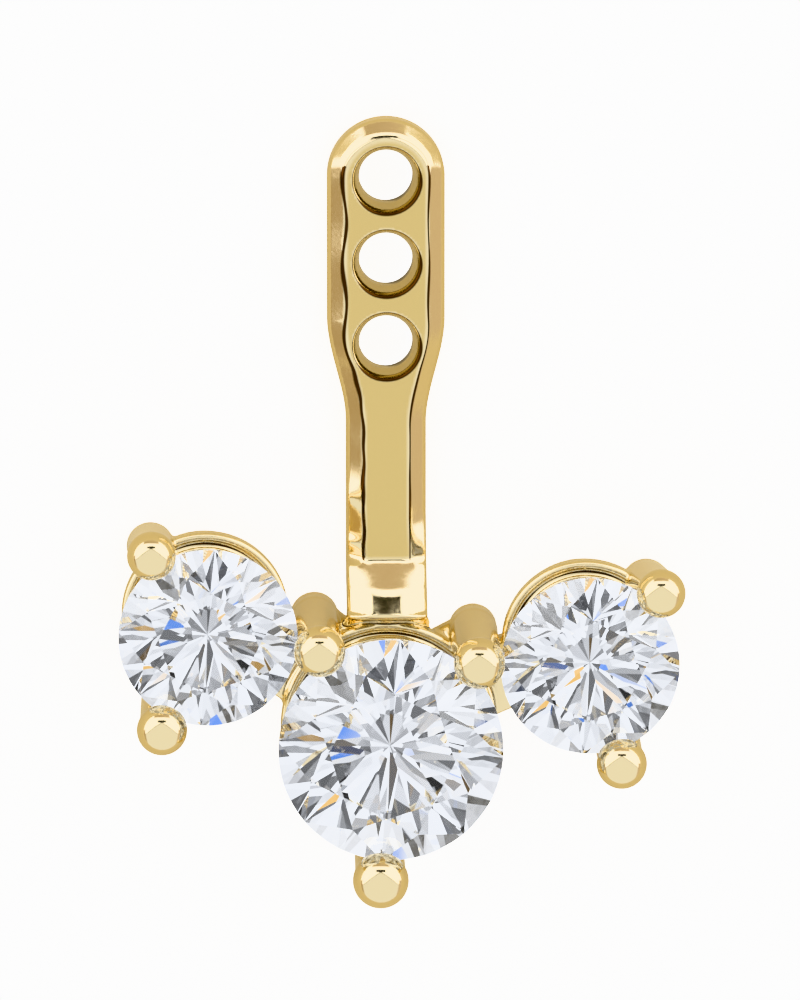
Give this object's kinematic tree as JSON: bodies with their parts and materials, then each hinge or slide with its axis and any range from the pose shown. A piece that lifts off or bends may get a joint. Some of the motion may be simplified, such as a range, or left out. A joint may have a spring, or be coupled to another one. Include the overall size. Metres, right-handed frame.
{
  "type": "ear jacket earring",
  "caption": "Ear jacket for the left side: a drilled yellow gold post plate on a slim stem that carries a hanging cluster of round brilliants in ball prongs.",
  "frame": {"origin": "axis of the middle post hole, on the flat back of the plate that lies towards the ear lobe", "axes": "+Z out of the front face, towards the wearer's front side where the stones look; +Y up the plate to its round end, away from the cluster; +X to the right seen from the front"},
  "size_m": [0.01, 0.0137, 0.0037],
  "materials": {
    "yellow_gold": "high polish on cast and soldered 14 karat yellow gold",
    "clear_stone": "polished facets of a colourless round brilliant"
  },
  "bodies": {
    "root": {"jacket_frame": "yellow_gold", "centre_stone": "clear_stone", "left_stone": "clear_stone", "right_stone": "clear_stone"}
  },
  "joints": []
}
